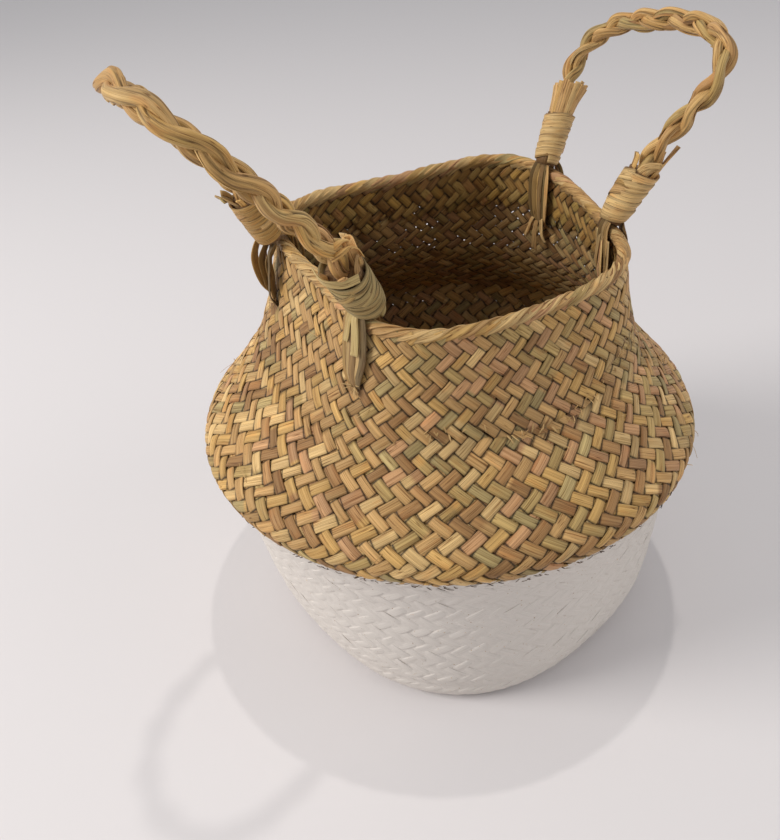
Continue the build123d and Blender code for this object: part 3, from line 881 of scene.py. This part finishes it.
def braid_strands(handle_name, handle):
    """Three strands that cross in a flat braid and close up towards the bindings."""
    pitch, half_width, half_depth, strand_radius = BRAIDS[handle_name]
    line, length, face = handle_line(handle)
    rng = np.random.default_rng(51 if handle_name == "left" else 52)
    station = np.linspace(0, length, len(line))
    tangent = unit(np.gradient(line, axis=0))
    across = unit(np.cross(face[None], tangent))
    outward = np.cross(tangent, across)
    start = BINDING_TOP - 5.0
    end = length - start
    cycles = round((end - start) / pitch * 3) / 3
    progress = (station - start) / (end - start)
    spread = np.clip((station - start + 2) / 9, 0, 1) * np.clip((end + 2 - station) / 9, 0, 1)
    spread = spread * spread * (3 - 2 * spread)
    keep = (station > 6) & (station < length - 6)
    along = station[keep]
    for index, letter in enumerate("abc"):
        uneven = 0.12 * wander(station[None], 1, 60.0, rng)[0]
        angle = 2 * pi * (cycles * np.clip(progress, -0.1, 1.1) + index / 3 + 0.25) + uneven
        fat = 1 + 0.06 * wander(station[None], 1, 40.0, rng)[0]
        bundled = BUNDLE_RADIUS * (1 - spread)
        wide = half_width * fat * np.sin(angle) * spread + bundled * np.sin(angle)
        deep = half_depth * np.sin(2 * angle) * spread - bundled * np.cos(angle)
        centre = (line + across * wide[:, None] + outward * deep[:, None])[keep]
        way = unit(np.gradient(centre, axis=0))
        side = unit(np.cross(outward[keep], way))
        up = unit(np.cross(way, side))
        phi, radius, tone, twist = strand_surface(along, angle[keep], strand_radius, rng)
        radial = np.cos(phi)[..., None] * side[:, None] + np.sin(phi)[..., None] * up[:, None]
        fibre = grain(along, (phi - twist) * strand_radius, index * 9.7)
        pieces = [single(centre[:, None] + radius[..., None] * radial, tone, fibre)]
        pieces += loose_blades(along, centre, side, up, twist, strand_radius, rng)
        make_mesh(f"{handle_name}_braid_{letter}", pieces, f"{handle_name}_handle", braid_blades,
                  replaces=[f"{handle_name}_strand_{letter}"])


def leg_frame(handle, leg):
    """Pivot, way up the leg, way across in the handle's plane, and the face direction."""
    line, length, face = handle_line(handle)
    if leg == "far":
        line = line[::-1]
    top = read_line(BINDING_TOP, np.linspace(0, length, len(line)), line)
    way = unit(top - line[0])
    across = unit(np.cross(face, way))
    return line[0], way, across, np.cross(way, across)


# radius of a binding at its foot and top, turns, strip width, slant, colours' shares
PALE = PALETTE_SHARES * np.array([1.6, 0.9, 0.5, 0.0, 1.6, 4.0, 0.1])
WARM = PALETTE_SHARES * np.array([1.8, 2.0, 1.5, 0.6, 0.3, 0.1, 0.1])
BINDINGS = {
    "left_near": (7.9, 8.2, 7.3, 3.9, -2.6, PALE),
    "left_far": (6.8, 7.6, 8.6, 3.4, 0.7, PALE),
    "right_near": (5.9, 6.5, 4.9, 6.3, 1.5, WARM),
    "right_far": (5.7, 6.5, 6.6, 4.4, 0.7, WARM),
}


def binding_radius(leg_name, height):
    foot, top = BINDINGS[leg_name][:2]
    narrow = 1 - 0.15 * np.clip((BINDING_FOOT + 3.0 - height) / 3.0, 0, 1) ** 2
    return np.interp(height, [BINDING_FOOT, BINDING_TOP], [foot, top]) * narrow


def bearing_ways(axes, bearing, stretch=(1.0, 1.0)):
    """Ways out of a leg at bearings round it, measured from across towards its face."""
    _, _, across, face = axes
    wide, deep = stretch
    return across * (wide * np.cos(bearing))[..., None] + face * (deep * np.sin(bearing))[..., None]


def around_leg(axes, bearing, height, radius):
    """Points round a leg whose section is a little wider in the handle's plane."""
    radial = bearing_ways(axes, bearing, (1.08, 0.94)) * np.asarray(radius)[..., None]
    return axes[0] + axes[1] * np.asarray(height)[..., None] + radial


def binding_plug(leg_name, axes):
    """The bundle of blades that a binding is wound round, coloured dark as painted shade."""
    phi = np.linspace(0, 2 * pi, 28, endpoint=False)
    levels = np.linspace(BINDING_FOOT - 1.0, BINDING_TOP - 0.8, 12)
    lobed = 0.88 * (1 + 0.05 * np.sin(5 * phi))
    rings = np.stack([around_leg(axes, phi, np.full(28, level),
                                 lobed * binding_radius(leg_name, level)) for level in levels])
    # painted shade: the plug shows only in the shadow between the binding's turns
    tone = np.broadcast_to(UMBER * 0.55, rings.shape)
    return single(rings, tone, grain(levels, phi[None] * 4.5, 3.0))


def binding(handle_name, handle, leg, seed):
    """A flat blade wound round the leg, each turn shingled over the last, over a plug of blades."""
    leg_name = f"{handle_name}_{leg}"
    rng = np.random.default_rng(seed)
    axes = leg_frame(handle, leg)
    _, _, turns, width, slant, shares = BINDINGS[leg_name]
    t = np.linspace(0, 1, int(turns * 40))
    wound = t[None] * turns
    bearing = 2 * pi * turns * t + rng.uniform(0, 6)
    height = BINDING_FOOT + 1.4 + (BINDING_TOP - BINDING_FOOT - 3.0) * t
    height = height + 0.3 * wander(wound, 1, 1.3, rng)[0]
    height = height + slant * np.sin(bearing + 1.0) * (0.35 + 0.65 * np.sin(pi * t))
    radius = binding_radius(leg_name, height) + 0.16 * wander(wound, 1, 0.9, rng)[0]
    points = around_leg(axes, bearing, height, radius + 0.25 * t)
    normals = unit(bearing_ways(axes, bearing) - 0.20 * axes[1])
    wide = width * (1 + 0.09 * wander(wound, 1, 2.0, rng)[0])
    tone = pick_tone(rng, shares)
    tone = tone * (1 + 0.07 * wander(wound, 1, 2.5, rng)[0])[:, None]
    pieces = [ribbon(points, normals, wide, 0.8, tone, seed * 1.7, edge=0.6)]
    for loose in range(3):
        first = rng.uniform(0, 2 * pi)
        sweep = np.linspace(first, first + rng.uniform(2.0, 3.6), 30)
        climb = np.linspace(rng.uniform(1.0, 8.0), rng.uniform(9.0, BINDING_TOP - 2), 30)
        tucked = 0.9 * np.abs(np.linspace(-1, 1, 30)) ** 6
        spots = around_leg(axes, sweep, climb, binding_radius(leg_name, climb) + 0.75 - tucked)
        pieces.append(ribbon(spots, bearing_ways(axes, sweep), width * 0.8, 0.5,
                             pick_tone(rng, shares) * 0.96, loose + 2.2, edge=0.6))
    pieces.append(binding_plug(leg_name, axes))
    make_mesh(f"{leg_name}_binding", pieces, f"{handle_name}_handle", wrap_blades,
              replaces=[f"{leg_name}_wrap"])


def reed(base, tip, radius, tone, seed):
    """A hollow reed stub, open at its tip, whose cut edge is pale and whose hollow is darkened with
    painted shade.
    """
    way = unit(tip - base)
    side = unit(np.cross(way, (0.3, 1.0, 0.2)))
    up = np.cross(way, side)
    phi = np.linspace(0, 2 * pi, 20, endpoint=False)
    radial = side * np.cos(phi)[:, None] + up * np.sin(phi)[:, None]
    lobed = radius * (1 + 0.09 * np.sin(2 * phi + 1) + 0.04 * np.sin(5 * phi))[:, None]
    # share of the length, share of the radius, and lightness: 1.5 for the pale cut edge, 0.25 for
    # painted shade in the hollow
    profile = [(0.0, 1.0, 1.0), (0.5, 1.02, 1.0), (0.97, 1.0, 1.5), (1.0, 0.9, 1.5),
               (0.99, 0.62, 1.5), (0.7, 0.55, 0.25)]
    length = np.linalg.norm(tip - base)
    rings = np.stack([base + way * share * length + radial * lobed * size
                      for share, size, _ in profile])
    tones = np.stack([np.broadcast_to(np.minimum(tone * shade, 0.95), (len(phi), 3))
                      for _, _, shade in profile])
    return single(rings, tones, grain(np.arange(6.0) * 3, phi[None] * radius, seed))


# cut ends that stand out of each binding: bearing in degrees, length, width, flare, bend
STANDING = {
    "left_near": [
        (95, 9, 4.6, 0.12, 8), (140, 5, 3.6, 0.3, -10), (250, 4, 3.0, 0.2, 20),
        (20, 5, 3.4, 0.1, 30), (60, 3, 2.4, 0.2, -20), (185, 3, 3.0, 0.2, 0),
        (310, 5, 2.0, 0.3, 30),
    ],
    "left_far": [
        (250, 5, 3.2, 0.5, 25), (285, 6, 2.6, 0.55, -30), (225, 4, 3.0, 0.3, 10),
        (320, 4, 2.6, 0.2, 0), (30, 4, 3.0, 0.1, 0), (110, 4, 3.0, 0.1, 0), (165, 4, 3.0, 0.1, 0),
    ],
    "right_near": [
        (60, 14, 3.8, 0.10, 12), (95, 8, 2.2, 0.55, 20), (118, 12, 1.5, 0.55, 10),
        (330, 5, 3.0, 0.2, 20), (20, 6, 3.4, 0.05, -20), (200, 4, 3.2, 0.1, 0),
        (260, 5, 3.0, 0.1, 0), (300, 6, 2.6, 0.35, 50),
    ],
    "right_far": [
        (-80, 13, 2.8, 0.05, 5), (-58, 14, 3.0, 0.06, 4), (-34, 13, 2.8, 0.07, 2),
        (-10, 14, 3.1, 0.09, -2), (14, 13.5, 2.9, 0.11, -3), (37, 14, 3.0, 0.13, -5),
        (60, 12.5, 2.8, 0.16, -6), (85, 13, 3.0, 0.16, -4), (112, 11, 3.2, 0.15, 0),
        (140, 9, 3.0, 0.10, 0), (170, 9, 3.0, 0.05, 0), (200, 10, 3.2, 0.03, 0),
        (228, 11, 3.0, 0.02, 0), (256, 12, 3.2, 0.02, 0), (5, 15, 2.4, 0.02, 10),
    ],
}


def standing_blades(leg_name, axes, seed):
    """Square-cut blades that stand out of a binding's top."""
    rng = np.random.default_rng(seed)
    shares = WARM if "right" in leg_name else PALE
    reach = binding_radius(leg_name, BINDING_TOP)
    pieces = []
    for bearing, length, width, flare, bend in STANDING[leg_name]:
        turn = np.full(4, radians(bearing)) + np.array((0, 0, 0.3, 1.0)) * radians(bend)
        height = BINDING_TOP + np.array((-6.0, -0.5, 0.5 * length, length))
        radius = reach + np.array((-2.2, -1.3, -0.8 + 0.4 * flare * length, flare * length))
        spots = around_leg(axes, turn, height, radius)
        section = BLADE if width > 3 else THIN_BLADE
        pieces.append(soft_ribbon(spots, bearing_ways(axes, turn), width, 0.7,
                                  pick_tone(rng, shares, 0.14), bearing * 0.1, section))
    return pieces


def reed_and_arches(axes):
    """The left handle's near leg: a reed stub, two bent-over blades and one tucked strip."""
    pivot, way, across, face = axes

    def spots(*places):
        return [pivot + across * a + face * b + way * c for a, b, c in places]

    base, tip = spots((2.5, 4.6, 12), (3.0, 7.2, 29.5))
    pieces = [reed(base, tip, 2.1, TAN, 4.4)]
    facing = [across + way, across + way, way + face * 0.5, face + way * 0.4, face]
    for shift, drop in ((0.0, 0.0), (1.9, -2.6)):
        arch = spots((1.5 + shift, -2.0, 31 + drop), (4.5 + shift, 1.5, 32.6 + drop),
                     (4.2 + shift, 5.0, 31.5 + drop), (3.2 + shift, 7.4, 28.2 + drop),
                     (2.5 + shift, 8.0, 22.0 + drop))
        pieces.append(soft_ribbon(arch, facing, 2.3, 0.6, GOLD * 1.1, 8.8 + shift, BLADE))
    strip = spots((-5.0, -7.5, 23.5), (1.0, -8.8, 21.5), (7.0, -5.0, 19.5), (9.0, 1.0, 17.5))
    facing = [face * -1, face * -1 + across * 0.3, across - face * 0.7, across]
    widths = [2.5, 4.5, 4.6, 4.4]
    pieces.append(soft_ribbon(strip, facing, widths, 0.6, SAGE * 1.15, 3.3, BLADE))
    return pieces


def cut_ends(handle_name, handle, leg, seed):
    """What stands out of a binding's top."""
    leg_name = f"{handle_name}_{leg}"
    axes = leg_frame(handle, leg)
    pieces = standing_blades(leg_name, axes, seed)
    if leg_name == "left_near":
        pieces += reed_and_arches(axes)
    make_mesh(f"{leg_name}_cut_blades", pieces, f"{handle_name}_handle", wrap_blades,
              replaces=[f"{leg_name}_cut_ends"])


class Place:
    """A leg's place on the rim, from which blades are laid out in millimetres aside and down."""

    def __init__(self, direction):
        self.turn, self.rim = rim_place(direction)
        self.girth = skin.perimeter[np.searchsorted(skin.s, self.rim)]
        self.outward = rim_outward(direction)

    def blade(self, aside, down, *looks, **more):
        return skin_blade(self.turn + aside / self.girth, self.rim - down, *looks, **more)


# blades down the outside and the inside of the wall, how far they bulge, collar turns, and how
# many ends hang inside
TIES = {
    "left_near": (6, 3, 0.6, 1.6, 0),
    "left_far": (3, 3, 2.6, 0.0, 0),
    "right_near": (4, 7, 0.8, 0.0, 9),
    "right_far": (4, 6, 0.8, 0.0, 5),
}


def wall_blades(place, root, leg_name, rng):
    """Blades from the binding down both faces of the wall, closing in to the hole."""
    outer, inner, bulge, _, _ = TIES[leg_name]
    run = unit(np.cross(RIM_Z, place.outward))
    drops = np.array((-1.5, 3.0, 10.0, 18.0, 25.0, HOLE_DEPTH - 0.5, HOLE_DEPTH + 1.5))
    closing = np.array((0.75, 0.95, 1.0, 0.9, 0.62, 0.40, 0.25))
    on_outside = np.array((0.9, 1.1, 1.0, 1.0, 0.8, -0.6, -3.2))
    on_inside = np.array((-5.6, -6.4, -6.8, -6.9, -6.6, -5.4, -3.0))
    taper = np.array((0.8, 1, 1, 1, 1, 0.9, 0.8, 0.6))
    pieces = []
    for side, count in ((1, outer), (-1, inner)):
        for index in range(count):
            share = (index - (count - 1) / 2) / max(1, (count - 1) / 2)
            splay = 5.4 * share + 0.7 * rng.standard_normal()
            swell = bulge * (1 + 0.4 * rng.standard_normal())
            swell = swell * np.array((0.5, 1, 1, 0.8, 0.4, 0, 0))
            if side > 0:
                lift = on_outside + swell + 0.25 * (index % 3)
            else:
                lift = on_inside - 0.5 * swell - 0.3 * (index % 3)
            facing = place.outward * side
            top = root + run * splay * 0.35 + facing * 1.5
            width = rng.uniform(2.4, 3.8) * taper
            tone = pick_tone(rng, BRAID_SHARES, 0.16)
            # painted shade: most blades darkened, as they lie in the shadow by the wall
            tone = tone * rng.choice([0.28, 0.42, 0.62, 0.85])
            pieces.append(place.blade(splay * closing, drops, lift, width, 0.7, tone,
                                      index + 0.3, BLADE, side, (top, facing)))
    return pieces


def hanging_ends(place, count, rng):
    """Ends that hang down inside, below the hole."""
    pieces = []
    for index in range(count):
        splay = rng.uniform(-7, 7)
        length = rng.uniform(10, 26)
        falls = HOLE_DEPTH - 8.0 + np.array((0.0, 0.4, 0.8, 1.0)) * length
        aside = splay * np.array((0.3, 0.8, 1.2, 1.5))
        lift = -5.6 - np.array((0.5, 2.5, 3.4, 2.8)) * rng.uniform(0.6, 1.6)
        tone = pick_tone(rng, BRAID_SHARES, 0.15)
        pieces.append(place.blade(aside, falls, lift, rng.uniform(1.4, 2.8), 0.5, tone,
                                  index * 1.3, side=-1))
    return pieces


def hole_fibres(place, rng):
    """Broken fibres round the hole."""
    pieces = []
    for index in range(9):
        bearing = rng.uniform(0, 2 * pi)
        along = np.array((0.2, 0.6, 1.0)) * rng.uniform(3.0, 6.5)
        down = HOLE_DEPTH - np.sin(bearing) * along
        lift = np.array((-0.4, 0.7, 1.1)) + 0.3 * rng.standard_normal(3)
        pieces.append(place.blade(np.cos(bearing) * along, down, lift, [0.6, 0.5, 0.25], 0.25,
                                  STRAW * 0.8, index * 0.9))
    return pieces


def collar(axes, turns):
    """A flat blade wound round the leg below its binding."""
    bearing = np.linspace(0, 2 * pi * turns, 60)
    height = np.linspace(-8.0, -5.2, 60)
    spots = around_leg(axes, bearing, height, 5.6 + 0 * bearing)
    normals = unit(spots - axes[0] - axes[1] * height[:, None])
    return ribbon(spots, normals, 3.6, 0.6, SAGE * 1.15, 6.6)


def outer_straps(place, axes):
    """The left handle's near leg: two broad pale blades over the others."""
    pieces = []
    for shift, low, width in ((1.6, 15.0, 4.2), (-2.6, 11.0, 3.2)):
        falls = np.array((-1.0, 4.0, low * 0.6, low))
        aside = shift * np.array((0.6, 1, 1.1, 1.2))
        root = (axes[0] - axes[1] * 4 + place.outward * 3, place.outward)
        pieces.append(place.blade(aside, falls, [2.6, 3.0, 3.0, 3.4], width, 0.7, SAGE * 1.15,
                                  shift, BLADE, root=root))
    return pieces


def curled_blades(place, rng):
    """The right handle's near leg: ends that curl back inside the wall."""
    pieces = []
    for index in range(9):
        shift, deep = rng.uniform(-9, 7), rng.uniform(18, 30)
        sweep = rng.uniform(-5, 5) * np.array((0, 1.0, 1.4, 0.7, -0.6))
        falls = deep * np.array((0.08, 0.4, 0.8, 1.0, 0.84))
        lift = -6.4 - np.array((0.4, 1.6, 2.6, 2.2, 1.2)) * rng.uniform(0.7, 1.5)
        tone = pick_tone(rng, BRAID_SHARES, 0.12) * rng.choice([0.5, 0.8, 1.0])
        widths = [2.6, 3.0, 2.8, 2.2, 1.0]
        pieces.append(place.blade(shift + sweep, falls, lift, widths, 0.6, tone, index + 0.7,
                                  BLADE, side=-1))
    return pieces


def standing_loop(place, axes):
    """The left handle's far leg: broad blades that bow away from the wall."""
    falls = np.array((0.0, 8.0, 16.0, 22.0, 26.0))
    root = (axes[0] - axes[1] * 3 + place.outward * 1.5, place.outward)
    twist = 1.1 * unit(np.cross(RIM_Z, place.outward))
    widths = [3, 5.0, 5.8, 5.2, 3.6, 2.0]
    pieces = []
    for shift, out, shade in ((-4.0, 8.0, 0.80), (-1.0, 5.5, 0.5), (2.0, 3.5, 0.5)):
        lift = np.array((out, out + 2, out, out * 0.6, 0.6))
        pieces.append(place.blade(shift, falls, lift, widths, 0.7, GOLD * shade, shift, BLADE,
                                  root=root, twist=twist))
    return pieces


def tie_blades(handle_name, handle, leg, seed):
    """The handle's blades below its binding, down both faces of the wall and through a hole."""
    leg_name = f"{handle_name}_{leg}"
    rng = np.random.default_rng(seed)
    axes = leg_frame(handle, leg)
    place = Place(handle[leg][0])
    _, _, _, collar_turns, hanging = TIES[leg_name]
    pieces = wall_blades(place, axes[0] - axes[1] * 2.0, leg_name, rng)
    pieces += hanging_ends(place, hanging, rng)
    pieces += hole_fibres(place, rng)
    if collar_turns:
        pieces.append(collar(axes, collar_turns))
    if leg_name == "left_near":
        pieces += outer_straps(place, axes)
    if leg_name == "right_near":
        pieces += curled_blades(place, rng)
    if leg_name == "left_far":
        pieces += standing_loop(place, axes)
    make_mesh(f"{leg_name}_tie_blades", pieces, "basket", wrap_blades,
              replaces=[f"{leg_name}_anchor"])


def handles():
    for number, (name, handle) in enumerate(HANDLES.items()):
        braid_strands(name, handle)
        for place, leg in enumerate(("near", "far")):
            binding(name, handle, leg, 61 + 2 * number + place)
            cut_ends(name, handle, leg, 71 + 2 * number + place)
            tie_blades(name, handle, leg, 81 + 2 * number + place)


# ------------------------------------------------------------------ loose fibres
HALVES = np.array((0, 0.5, 1.0))     # where a short fibre has its three points


def crease_fibres(rng):
    """Broken fibres that stand out of the crease."""
    for index in range(34):
        u = rng.uniform(CREASE[0, 0], CREASE[-1, 0])
        s = np.interp(u, CREASE[:, 0], CREASE[:, 1]) + S_SHOULDER + 0.7 * rng.standard_normal()
        run = rng.uniform(1.5, 4.2) * HALVES
        around = u + run * rng.uniform(-0.8, 0.8) / SHOULDER_GIRTH
        climb = s + run * rng.choice([-1, 1])
        lift = np.array((-1.2, 0.3, rng.uniform(0.4, 1.6)))
        wide = rng.uniform(0.3, 0.75)
        tone = STRAW * rng.uniform(0.9, 1.15)
        yield skin_blade(around, climb, lift, [wide, wide, 0.3], 0.25, tone, index)


def hairs(rng):
    """Hair-thin fibres here and there over the unpainted half."""
    for index in range(26):
        u, s = rng.uniform(0, 1), rng.uniform(S_PAINT, S_RIM - 6)
        run = rng.uniform(4.0, 10.0) * HALVES
        around = u + run * rng.uniform(-1, 1) / MIDDLE_GIRTH
        climb = s + run * rng.uniform(-1, 1)
        lift = np.array((-0.3, 1.0, rng.uniform(1.2, 3.2)))
        yield skin_blade(around, climb, lift, [0.35, 0.3, 0.15], 0.15, STRAW, index)


def paint_edge_fibres(rng):
    """Short dark fibres just under the paint's edge."""
    for index in range(210):
        u = rng.uniform(0, 1)
        s = S_PAINT - 0.6 - 4.2 * rng.uniform() ** 2
        run = rng.uniform(1.4, 4.4)
        slant = rng.choice([-1, 1]) * rng.uniform(0.5, 1)
        around = u + HALVES * run * slant / BELLY_GIRTH
        climb = s + np.array((0, -0.2, -0.45)) * run * rng.uniform(0.2, 1.3)
        lift = np.array((-0.5, 0.05, rng.uniform(-0.2, 0.5)))
        wide = rng.uniform(0.3, 0.75)
        tone = UMBER * rng.uniform(0.12, 0.4)
        yield skin_blade(around, climb, lift, [wide, wide, 0.2], 0.2, tone, index)


def stray_fibres():
    rng = np.random.default_rng(91)
    pieces = [*crease_fibres(rng), *hairs(rng), *paint_edge_fibres(rng)]
    make_mesh("stray_fibres", pieces, "basket", natural)


plaited_skin()
base_weave()
rim_border()
handles()
stray_fibres()


# ------------------------------------------------------------------ camera
def camera():
    """The photograph's viewing angle: from the front, a little left, looking down."""
    heading, pitch, roll = radians(21.31), radians(36.37), radians(4.72)
    place = Vector((-0.1489, -0.2947, 0.3464))
    forward = Vector((sin(heading) * cos(pitch), cos(heading) * cos(pitch), -sin(pitch)))
    level = Vector((cos(heading), -sin(heading), 0))
    down = forward.cross(level)
    right = level * cos(roll) + down * sin(roll)
    down = down * cos(roll) - level * sin(roll)
    data = bpy.data.cameras.new("camera")
    data.sensor_width = 36.0
    data.lens = 34.58
    data.clip_start = 0.01
    obj = bpy.data.objects.new("camera", data)
    axes = Matrix((right, -down, -forward)).transposed().to_4x4()
    obj.matrix_world = Matrix.Translation(place) @ axes
    bpy.context.scene.collection.objects.link(obj)
    bpy.context.scene.camera = obj


def floor():
    """A plain pale table top under the basket."""
    size = 6.0
    mesh = bpy.data.meshes.new("floor")
    corners = [(-size, -size, 0), (size, -size, 0), (size, size, 0), (-size, size, 0)]
    mesh.from_pydata(corners, [], [(0, 1, 2, 3)])
    obj = bpy.data.objects.new("floor", mesh)
    bpy.context.scene.collection.objects.link(obj)
    material = bpy.data.materials.new("pale floor")
    material.use_nodes = True
    shader = material.node_tree.nodes["Principled BSDF"]
    shader.inputs["Base Color"].default_value = (0.72, 0.685, 0.685, 1)
    shader.inputs["Roughness"].default_value = 0.6
    shader.inputs["Specular IOR Level"].default_value = 0.2
    mesh.materials.append(material)


def area_light(name, place, target, size, power, colour):
    data = bpy.data.lights.new(name, "AREA")
    data.shape = "DISK"
    data.size = size
    data.energy = power
    data.color = colour
    obj = bpy.data.objects.new(name, data)
    obj.location = place
    obj.rotation_euler = (Vector(target) - Vector(place)).to_track_quat("-Z", "Y").to_euler()
    bpy.context.scene.collection.objects.link(obj)


def lights():
    """Soft light from all round, brighter from above, and one lamp nearly overhead."""
    world = bpy.data.worlds.new("studio")
    world.use_nodes = True
    world.node_tree.nodes["Background"].inputs["Color"].default_value = (0.95, 0.97, 1.0, 1)
    world.node_tree.nodes["Background"].inputs["Strength"].default_value = 0.53
    bpy.context.scene.world = world
    centre = (0, 0, 0.1)
    area_light("overhead lamp", (0.20, 0.20, 1.70), centre, 0.05, 4.0, (1.0, 0.97, 0.93))
    area_light("left window", (-1.62, 0.28, 1.15), centre, 0.9, 26.0, (1.0, 0.98, 0.95))
    area_light("right fill", (1.5, -1.0, 0.9), centre, 1.5, 7.0, (1.0, 0.98, 0.96))


camera()
floor()
lights()
bpy.context.scene.view_settings.view_transform = "Standard"
